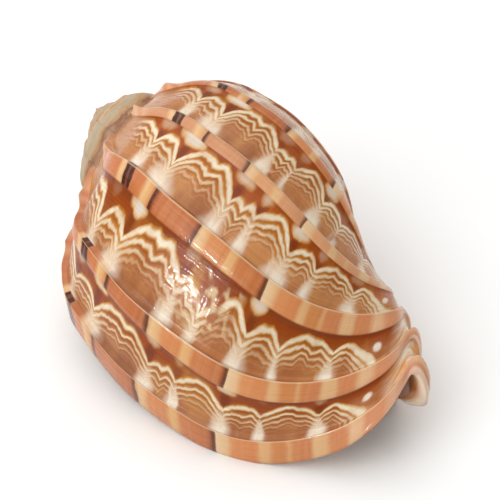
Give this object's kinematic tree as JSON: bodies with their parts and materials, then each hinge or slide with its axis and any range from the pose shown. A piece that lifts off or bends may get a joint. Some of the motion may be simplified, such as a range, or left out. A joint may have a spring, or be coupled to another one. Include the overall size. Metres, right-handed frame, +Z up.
{
  "type": "seashell",
  "caption": "Harp shell lying on its opening: twelve crisp ribs a turn, low spire, wide open aperture, notched canal and smooth pillar.",
  "frame": {"origin": "centre of the bounding box's bottom face, on the surface that the shell lies on", "axes": "+X along the shell's length from the apex towards the canal's notch, -Y towards the outer lip, +Z up with the opening facing down"},
  "size_m": [0.0848, 0.0568, 0.0426],
  "materials": {
    "glossy_shell": "glossy natural shell, salmon and cream ribs over red-brown zigzag fields"
  },
  "bodies": {
    "root": {"harp_shell": "glossy_shell"}
  },
  "joints": []
}
